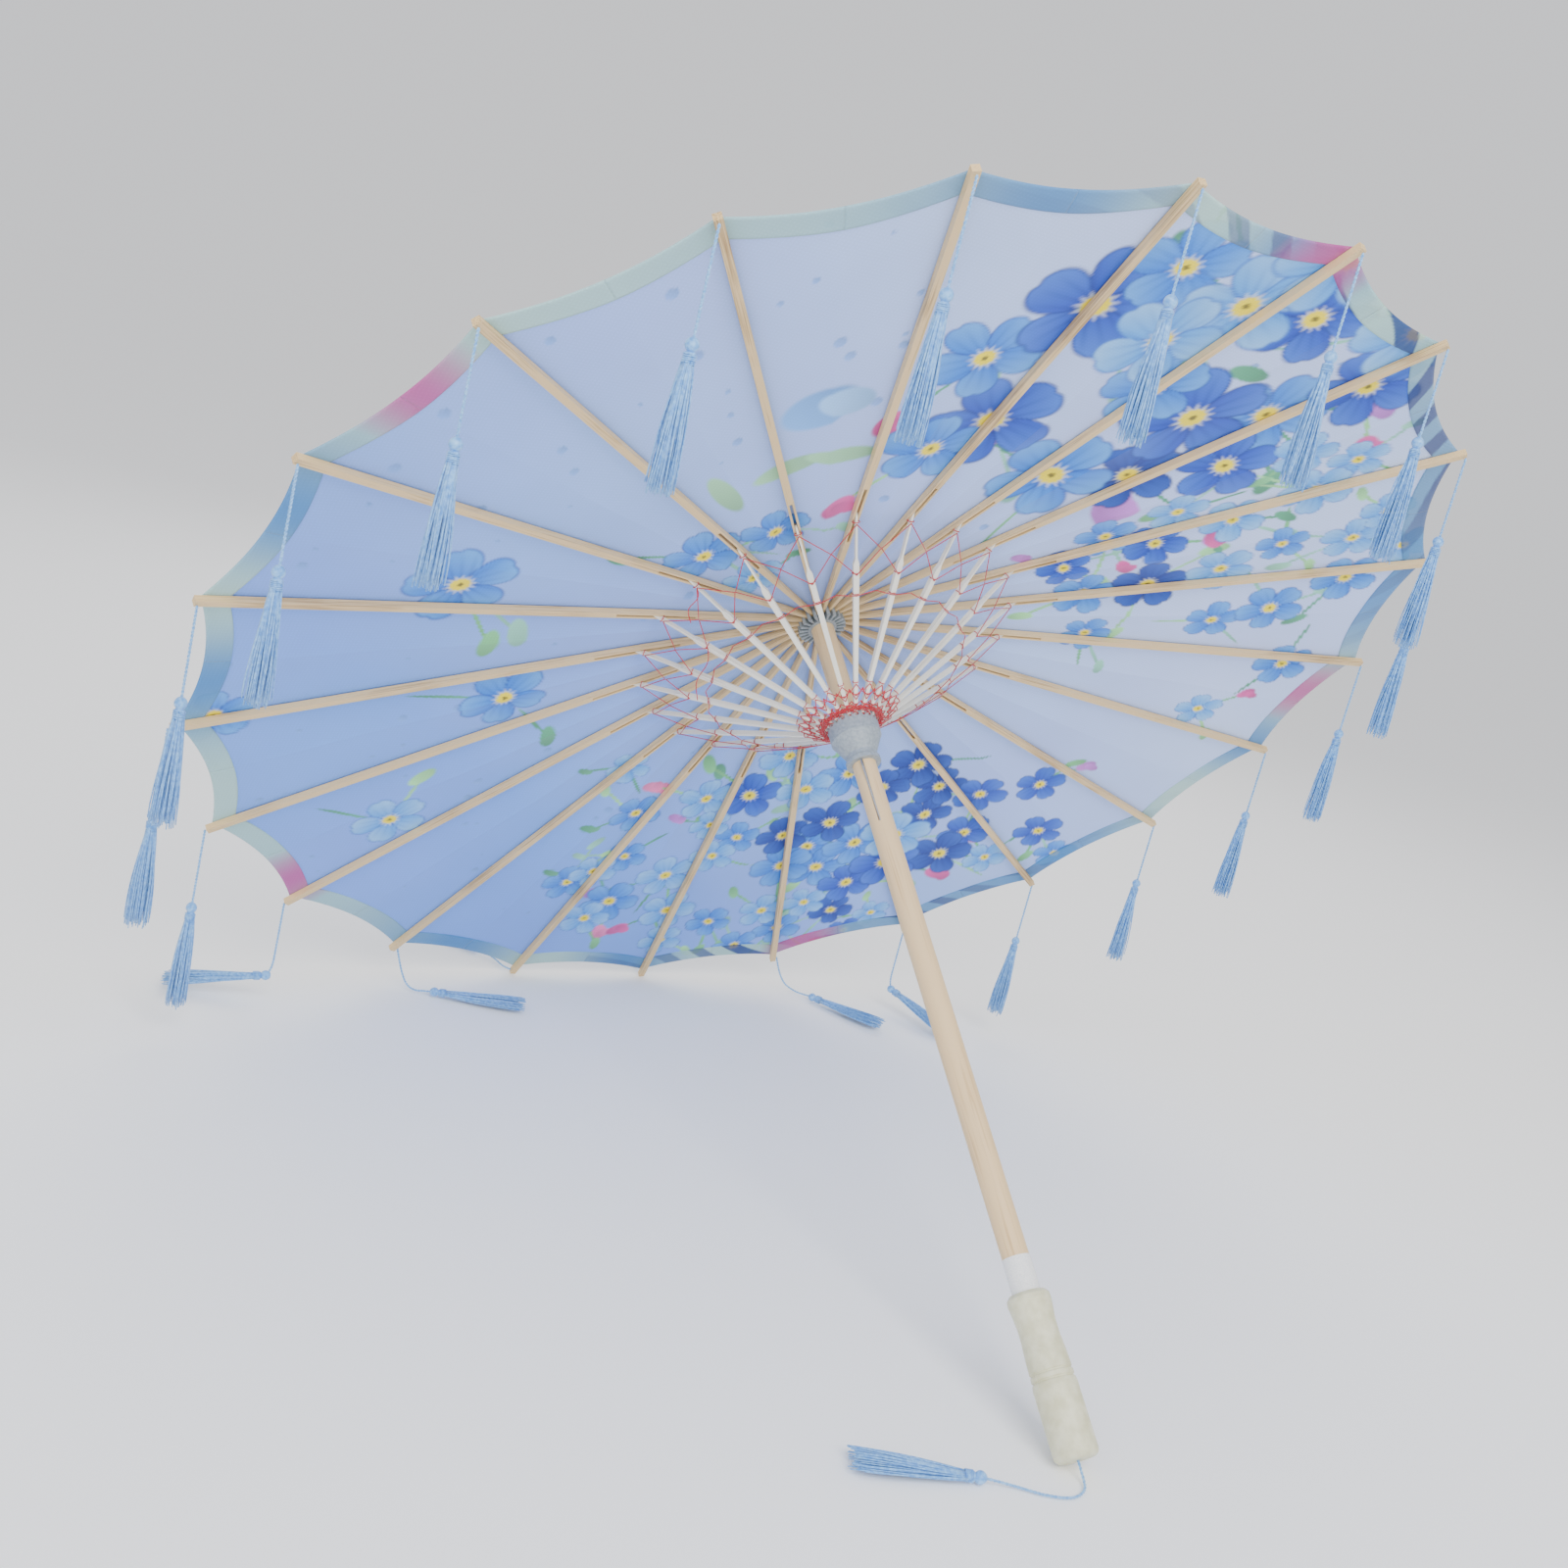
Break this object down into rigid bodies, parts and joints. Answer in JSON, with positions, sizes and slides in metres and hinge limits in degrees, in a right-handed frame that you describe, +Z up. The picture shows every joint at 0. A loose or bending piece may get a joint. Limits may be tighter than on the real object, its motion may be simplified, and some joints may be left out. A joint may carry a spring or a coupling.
{
  "type": "parasol",
  "caption": "Chinese-style parasol with a printed cloth canopy on slim bamboo ribs, a sliding runner, a turned wooden handle and blue rim tassels, lying open.",
  "frame": {"origin": "on the floor under the middle of the open parasol, which rests on two rib tips and the butt of its handle; tassels and their cords are not counted", "axes": "+Z up from the floor, +X from the resting rib tips towards the butt of the handle, +Y across the canopy, its widest extent"},
  "size_m": [0.7694, 0.853, 0.6437],
  "materials": {
    "bamboo": "planed pale bamboo, light sheen",
    "pale_strip": "bleached bamboo strip, near white",
    "shaft_wood": "sanded light wood with straight grain",
    "grey_plastic": "moulded pale grey plastic, satin",
    "wire": "drawn steel wire",
    "turned_wood": "turned and waxed, cream with a green tint",
    "paper_band": "matt white paper",
    "printed_cloth": "thin plain-weave cloth with a printed floral pattern",
    "hem_cloth": "folded and stitched border of the same cloth",
    "red_thread": "twisted red cotton thread",
    "blue_silk": "light blue rayon floss"
  },
  "bodies": {
    "root": {"shaft": "shaft_wood", "top_hub": "grey_plastic", "hub_pivot_ring": "wire", "top_cap": "turned_wood", "catch_spring": "wire", "handle": "turned_wood", "handle_band": "paper_band", "canopy": "printed_cloth", "canopy_hem": "hem_cloth", "rim_tassel_cords": "blue_silk", "rim_tassels": "blue_silk", "handle_tassel_cord": "blue_silk", "handle_tassel": "blue_silk"},
    "runner": {"runner": "grey_plastic", "runner_pivot_ring": "wire", "lacing_thread": "red_thread"},
    "rib_01_body": {"rib_01": "bamboo"},
    "stretcher_01_body": {"stretcher_01": "pale_strip"},
    "rib_02_body": {"rib_02": "bamboo"},
    "stretcher_02_body": {"stretcher_02": "pale_strip"},
    "rib_03_body": {"rib_03": "bamboo"},
    "stretcher_03_body": {"stretcher_03": "pale_strip"},
    "rib_04_body": {"rib_04": "bamboo"},
    "stretcher_04_body": {"stretcher_04": "pale_strip"},
    "rib_05_body": {"rib_05": "bamboo"},
    "stretcher_05_body": {"stretcher_05": "pale_strip"},
    "rib_06_body": {"rib_06": "bamboo"},
    "stretcher_06_body": {"stretcher_06": "pale_strip"},
    "rib_07_body": {"rib_07": "bamboo"},
    "stretcher_07_body": {"stretcher_07": "pale_strip"},
    "rib_08_body": {"rib_08": "bamboo"},
    "stretcher_08_body": {"stretcher_08": "pale_strip"},
    "rib_09_body": {"rib_09": "bamboo"},
    "stretcher_09_body": {"stretcher_09": "pale_strip"},
    "rib_10_body": {"rib_10": "bamboo"},
    "stretcher_10_body": {"stretcher_10": "pale_strip"},
    "rib_11_body": {"rib_11": "bamboo"},
    "stretcher_11_body": {"stretcher_11": "pale_strip"},
    "rib_12_body": {"rib_12": "bamboo"},
    "stretcher_12_body": {"stretcher_12": "pale_strip"},
    "rib_13_body": {"rib_13": "bamboo"},
    "stretcher_13_body": {"stretcher_13": "pale_strip"},
    "rib_14_body": {"rib_14": "bamboo"},
    "stretcher_14_body": {"stretcher_14": "pale_strip"},
    "rib_15_body": {"rib_15": "bamboo"},
    "stretcher_15_body": {"stretcher_15": "pale_strip"},
    "rib_16_body": {"rib_16": "bamboo"},
    "stretcher_16_body": {"stretcher_16": "pale_strip"},
    "rib_17_body": {"rib_17": "bamboo"},
    "stretcher_17_body": {"stretcher_17": "pale_strip"},
    "rib_18_body": {"rib_18": "bamboo"},
    "stretcher_18_body": {"stretcher_18": "pale_strip"},
    "rib_19_body": {"rib_19": "bamboo"},
    "stretcher_19_body": {"stretcher_19": "pale_strip"},
    "rib_20_body": {"rib_20": "bamboo"},
    "stretcher_20_body": {"stretcher_20": "pale_strip"},
    "rib_21_body": {"rib_21": "bamboo"},
    "stretcher_21_body": {"stretcher_21": "pale_strip"},
    "rib_22_body": {"rib_22": "bamboo"},
    "stretcher_22_body": {"stretcher_22": "pale_strip"}
  },
  "joints": [
    {"name": "runner_slide", "type": "slide", "parent": "root", "child": "runner", "axis": [0.7704, 0, -0.6376], "range_m": [0, 0.17335], "deforming": ["canopy", "canopy_hem", "rim_tassel_cords", "rim_tassels", "lacing_thread", "catch_spring"]},
    {"name": "rib_01_hinge", "type": "hinge", "parent": "root", "child": "rib_01_body", "pos_m": [-0.09671, -0.00519, 0.36748], "axis": [0.2649, 0.9096, 0.32], "range_deg": [-0.02, 77.92]},
    {"name": "stretcher_01_hinge", "type": "hinge", "parent": "runner", "child": "stretcher_01_body", "pos_m": [-0.02991, -0.00519, 0.3122], "axis": [-0.2649, -0.9096, -0.32], "range_deg": [-0.02, 56.55]},
    {"name": "rib_02_hinge", "type": "hinge", "parent": "root", "child": "rib_02_body", "pos_m": [-0.09607, -0.00178, 0.36825], "axis": [0.0907, 0.9898, 0.1096], "range_deg": [-0.02, 77.92]},
    {"name": "stretcher_02_hinge", "type": "hinge", "parent": "runner", "child": "stretcher_02_body", "pos_m": [-0.02928, -0.00178, 0.31298], "axis": [-0.0907, -0.9898, -0.1096], "range_deg": [-0.02, 56.55]},
    {"name": "rib_03_hinge", "type": "hinge", "parent": "root", "child": "rib_03_body", "pos_m": [-0.09607, 0.00178, 0.36825], "axis": [-0.0907, 0.9898, -0.1096], "range_deg": [-0.02, 77.92]},
    {"name": "stretcher_03_hinge", "type": "hinge", "parent": "runner", "child": "stretcher_03_body", "pos_m": [-0.02928, 0.00178, 0.31298], "axis": [0.0907, -0.9898, 0.1096], "range_deg": [-0.02, 56.55]},
    {"name": "rib_04_hinge", "type": "hinge", "parent": "root", "child": "rib_04_body", "pos_m": [-0.09671, 0.00519, 0.36748], "axis": [-0.2649, 0.9096, -0.32], "range_deg": [-0.02, 77.92]},
    {"name": "stretcher_04_hinge", "type": "hinge", "parent": "runner", "child": "stretcher_04_body", "pos_m": [-0.02991, 0.00519, 0.3122], "axis": [0.2649, -0.9096, 0.32], "range_deg": [-0.02, 56.55]},
    {"name": "rib_05_hinge", "type": "hinge", "parent": "root", "child": "rib_05_body", "pos_m": [-0.09793, 0.00819, 0.366], "axis": [-0.4175, 0.7557, -0.5045], "range_deg": [-0.02, 77.92]},
    {"name": "stretcher_05_hinge", "type": "hinge", "parent": "runner", "child": "stretcher_05_body", "pos_m": [-0.03114, 0.00819, 0.31072], "axis": [0.4175, -0.7557, 0.5045], "range_deg": [-0.02, 56.55]},
    {"name": "rib_06_hinge", "type": "hinge", "parent": "root", "child": "rib_06_body", "pos_m": [-0.09965, 0.01052, 0.36393], "axis": [-0.5364, 0.5406, -0.6481], "range_deg": [-0.02, 77.92]},
    {"name": "stretcher_06_hinge", "type": "hinge", "parent": "runner", "child": "stretcher_06_body", "pos_m": [-0.03286, 0.01052, 0.30865], "axis": [0.5364, -0.5406, 0.6481], "range_deg": [-0.02, 56.55]},
    {"name": "rib_07_hinge", "type": "hinge", "parent": "root", "child": "rib_07_body", "pos_m": [-0.10171, 0.01199, 0.36144], "axis": [-0.6118, 0.2817, -0.7392], "range_deg": [-0.02, 77.92]},
    {"name": "stretcher_07_hinge", "type": "hinge", "parent": "runner", "child": "stretcher_07_body", "pos_m": [-0.03492, 0.01199, 0.30616], "axis": [0.6118, -0.2817, 0.7392], "range_deg": [-0.02, 56.55]},
    {"name": "rib_08_hinge", "type": "hinge", "parent": "root", "child": "rib_08_body", "pos_m": [-0.10396, 0.0125, 0.35872], "axis": [-0.6376, 0, -0.7704], "range_deg": [-0.02, 77.92]},
    {"name": "stretcher_08_hinge", "type": "hinge", "parent": "runner", "child": "stretcher_08_body", "pos_m": [-0.03716, 0.0125, 0.30344], "axis": [0.6376, 0, 0.7704], "range_deg": [-0.02, 56.55]},
    {"name": "rib_09_hinge", "type": "hinge", "parent": "root", "child": "rib_09_body", "pos_m": [-0.1062, 0.01199, 0.35601], "axis": [-0.6118, -0.2817, -0.7392], "range_deg": [-0.02, 77.92]},
    {"name": "stretcher_09_hinge", "type": "hinge", "parent": "runner", "child": "stretcher_09_body", "pos_m": [-0.03941, 0.01199, 0.30073], "axis": [0.6118, 0.2817, 0.7392], "range_deg": [-0.02, 56.55]},
    {"name": "rib_10_hinge", "type": "hinge", "parent": "root", "child": "rib_10_body", "pos_m": [-0.10826, 0.01052, 0.35352], "axis": [-0.5364, -0.5406, -0.6481], "range_deg": [-0.02, 77.92]},
    {"name": "stretcher_10_hinge", "type": "hinge", "parent": "runner", "child": "stretcher_10_body", "pos_m": [-0.04147, 0.01052, 0.29824], "axis": [0.5364, 0.5406, 0.6481], "range_deg": [-0.02, 56.55]},
    {"name": "rib_11_hinge", "type": "hinge", "parent": "root", "child": "rib_11_body", "pos_m": [-0.10998, 0.00819, 0.35145], "axis": [-0.4175, -0.7557, -0.5045], "range_deg": [-0.02, 77.92]},
    {"name": "stretcher_11_hinge", "type": "hinge", "parent": "runner", "child": "stretcher_11_body", "pos_m": [-0.04319, 0.00819, 0.29617], "axis": [0.4175, 0.7557, 0.5045], "range_deg": [-0.02, 56.55]},
    {"name": "rib_12_hinge", "type": "hinge", "parent": "root", "child": "rib_12_body", "pos_m": [-0.11121, 0.00519, 0.34996], "axis": [-0.2649, -0.9096, -0.32], "range_deg": [-0.02, 77.92]},
    {"name": "stretcher_12_hinge", "type": "hinge", "parent": "runner", "child": "stretcher_12_body", "pos_m": [-0.04441, 0.00519, 0.29468], "axis": [0.2649, 0.9096, 0.32], "range_deg": [-0.02, 56.55]},
    {"name": "rib_13_hinge", "type": "hinge", "parent": "root", "child": "rib_13_body", "pos_m": [-0.11184, 0.00178, 0.34919], "axis": [-0.0907, -0.9898, -0.1096], "range_deg": [-0.02, 77.92]},
    {"name": "stretcher_13_hinge", "type": "hinge", "parent": "runner", "child": "stretcher_13_body", "pos_m": [-0.04505, 0.00178, 0.29391], "axis": [0.0907, 0.9898, 0.1096], "range_deg": [-0.02, 56.55]},
    {"name": "rib_14_hinge", "type": "hinge", "parent": "root", "child": "rib_14_body", "pos_m": [-0.11184, -0.00178, 0.34919], "axis": [0.0907, -0.9898, 0.1096], "range_deg": [-0.02, 77.92]},
    {"name": "stretcher_14_hinge", "type": "hinge", "parent": "runner", "child": "stretcher_14_body", "pos_m": [-0.04505, -0.00178, 0.29391], "axis": [-0.0907, 0.9898, -0.1096], "range_deg": [-0.02, 56.55]},
    {"name": "rib_15_hinge", "type": "hinge", "parent": "root", "child": "rib_15_body", "pos_m": [-0.11121, -0.00519, 0.34996], "axis": [0.2649, -0.9096, 0.32], "range_deg": [-0.02, 77.92]},
    {"name": "stretcher_15_hinge", "type": "hinge", "parent": "runner", "child": "stretcher_15_body", "pos_m": [-0.04441, -0.00519, 0.29468], "axis": [-0.2649, 0.9096, -0.32], "range_deg": [-0.02, 56.55]},
    {"name": "rib_16_hinge", "type": "hinge", "parent": "root", "child": "rib_16_body", "pos_m": [-0.10998, -0.00819, 0.35145], "axis": [0.4175, -0.7557, 0.5045], "range_deg": [-0.02, 77.92]},
    {"name": "stretcher_16_hinge", "type": "hinge", "parent": "runner", "child": "stretcher_16_body", "pos_m": [-0.04319, -0.00819, 0.29617], "axis": [-0.4175, 0.7557, -0.5045], "range_deg": [-0.02, 56.55]},
    {"name": "rib_17_hinge", "type": "hinge", "parent": "root", "child": "rib_17_body", "pos_m": [-0.10826, -0.01052, 0.35352], "axis": [0.5364, -0.5406, 0.6481], "range_deg": [-0.02, 77.92]},
    {"name": "stretcher_17_hinge", "type": "hinge", "parent": "runner", "child": "stretcher_17_body", "pos_m": [-0.04147, -0.01052, 0.29824], "axis": [-0.5364, 0.5406, -0.6481], "range_deg": [-0.02, 56.55]},
    {"name": "rib_18_hinge", "type": "hinge", "parent": "root", "child": "rib_18_body", "pos_m": [-0.1062, -0.01199, 0.35601], "axis": [0.6118, -0.2817, 0.7392], "range_deg": [-0.02, 77.92]},
    {"name": "stretcher_18_hinge", "type": "hinge", "parent": "runner", "child": "stretcher_18_body", "pos_m": [-0.03941, -0.01199, 0.30073], "axis": [-0.6118, 0.2817, -0.7392], "range_deg": [-0.02, 56.55]},
    {"name": "rib_19_hinge", "type": "hinge", "parent": "root", "child": "rib_19_body", "pos_m": [-0.10396, -0.0125, 0.35872], "axis": [0.6376, 0, 0.7704], "range_deg": [-0.02, 77.92]},
    {"name": "stretcher_19_hinge", "type": "hinge", "parent": "runner", "child": "stretcher_19_body", "pos_m": [-0.03716, -0.0125, 0.30344], "axis": [-0.6376, 0, -0.7704], "range_deg": [-0.02, 56.55]},
    {"name": "rib_20_hinge", "type": "hinge", "parent": "root", "child": "rib_20_body", "pos_m": [-0.10171, -0.01199, 0.36144], "axis": [0.6118, 0.2817, 0.7392], "range_deg": [-0.02, 77.92]},
    {"name": "stretcher_20_hinge", "type": "hinge", "parent": "runner", "child": "stretcher_20_body", "pos_m": [-0.03492, -0.01199, 0.30616], "axis": [-0.6118, -0.2817, -0.7392], "range_deg": [-0.02, 56.55]},
    {"name": "rib_21_hinge", "type": "hinge", "parent": "root", "child": "rib_21_body", "pos_m": [-0.09965, -0.01052, 0.36393], "axis": [0.5364, 0.5406, 0.6481], "range_deg": [-0.02, 77.92]},
    {"name": "stretcher_21_hinge", "type": "hinge", "parent": "runner", "child": "stretcher_21_body", "pos_m": [-0.03286, -0.01052, 0.30865], "axis": [-0.5364, -0.5406, -0.6481], "range_deg": [-0.02, 56.55]},
    {"name": "rib_22_hinge", "type": "hinge", "parent": "root", "child": "rib_22_body", "pos_m": [-0.09793, -0.00819, 0.366], "axis": [0.4175, 0.7557, 0.5045], "range_deg": [-0.02, 77.92]},
    {"name": "stretcher_22_hinge", "type": "hinge", "parent": "runner", "child": "stretcher_22_body", "pos_m": [-0.03114, -0.00819, 0.31072], "axis": [-0.4175, -0.7557, -0.5045], "range_deg": [-0.02, 56.55]}
  ],
  "couplings": [
    {"joint": "rib_01_hinge", "follows": "runner_slide", "rad_per_m": 7.8404},
    {"joint": "stretcher_01_hinge", "follows": "runner_slide", "rad_per_m": 5.6885},
    {"joint": "rib_02_hinge", "follows": "runner_slide", "rad_per_m": 7.8404},
    {"joint": "stretcher_02_hinge", "follows": "runner_slide", "rad_per_m": 5.6885},
    {"joint": "rib_03_hinge", "follows": "runner_slide", "rad_per_m": 7.8404},
    {"joint": "stretcher_03_hinge", "follows": "runner_slide", "rad_per_m": 5.6885},
    {"joint": "rib_04_hinge", "follows": "runner_slide", "rad_per_m": 7.8404},
    {"joint": "stretcher_04_hinge", "follows": "runner_slide", "rad_per_m": 5.6885},
    {"joint": "rib_05_hinge", "follows": "runner_slide", "rad_per_m": 7.8404},
    {"joint": "stretcher_05_hinge", "follows": "runner_slide", "rad_per_m": 5.6885},
    {"joint": "rib_06_hinge", "follows": "runner_slide", "rad_per_m": 7.8404},
    {"joint": "stretcher_06_hinge", "follows": "runner_slide", "rad_per_m": 5.6885},
    {"joint": "rib_07_hinge", "follows": "runner_slide", "rad_per_m": 7.8404},
    {"joint": "stretcher_07_hinge", "follows": "runner_slide", "rad_per_m": 5.6885},
    {"joint": "rib_08_hinge", "follows": "runner_slide", "rad_per_m": 7.8404},
    {"joint": "stretcher_08_hinge", "follows": "runner_slide", "rad_per_m": 5.6885},
    {"joint": "rib_09_hinge", "follows": "runner_slide", "rad_per_m": 7.8404},
    {"joint": "stretcher_09_hinge", "follows": "runner_slide", "rad_per_m": 5.6885},
    {"joint": "rib_10_hinge", "follows": "runner_slide", "rad_per_m": 7.8404},
    {"joint": "stretcher_10_hinge", "follows": "runner_slide", "rad_per_m": 5.6885},
    {"joint": "rib_11_hinge", "follows": "runner_slide", "rad_per_m": 7.8404},
    {"joint": "stretcher_11_hinge", "follows": "runner_slide", "rad_per_m": 5.6885},
    {"joint": "rib_12_hinge", "follows": "runner_slide", "rad_per_m": 7.8404},
    {"joint": "stretcher_12_hinge", "follows": "runner_slide", "rad_per_m": 5.6885},
    {"joint": "rib_13_hinge", "follows": "runner_slide", "rad_per_m": 7.8404},
    {"joint": "stretcher_13_hinge", "follows": "runner_slide", "rad_per_m": 5.6885},
    {"joint": "rib_14_hinge", "follows": "runner_slide", "rad_per_m": 7.8404},
    {"joint": "stretcher_14_hinge", "follows": "runner_slide", "rad_per_m": 5.6885},
    {"joint": "rib_15_hinge", "follows": "runner_slide", "rad_per_m": 7.8404},
    {"joint": "stretcher_15_hinge", "follows": "runner_slide", "rad_per_m": 5.6885},
    {"joint": "rib_16_hinge", "follows": "runner_slide", "rad_per_m": 7.8404},
    {"joint": "stretcher_16_hinge", "follows": "runner_slide", "rad_per_m": 5.6885},
    {"joint": "rib_17_hinge", "follows": "runner_slide", "rad_per_m": 7.8404},
    {"joint": "stretcher_17_hinge", "follows": "runner_slide", "rad_per_m": 5.6885},
    {"joint": "rib_18_hinge", "follows": "runner_slide", "rad_per_m": 7.8404},
    {"joint": "stretcher_18_hinge", "follows": "runner_slide", "rad_per_m": 5.6885},
    {"joint": "rib_19_hinge", "follows": "runner_slide", "rad_per_m": 7.8404},
    {"joint": "stretcher_19_hinge", "follows": "runner_slide", "rad_per_m": 5.6885},
    {"joint": "rib_20_hinge", "follows": "runner_slide", "rad_per_m": 7.8404},
    {"joint": "stretcher_20_hinge", "follows": "runner_slide", "rad_per_m": 5.6885},
    {"joint": "rib_21_hinge", "follows": "runner_slide", "rad_per_m": 7.8404},
    {"joint": "stretcher_21_hinge", "follows": "runner_slide", "rad_per_m": 5.6885},
    {"joint": "rib_22_hinge", "follows": "runner_slide", "rad_per_m": 7.8404},
    {"joint": "stretcher_22_hinge", "follows": "runner_slide", "rad_per_m": 5.6885}
  ]
}
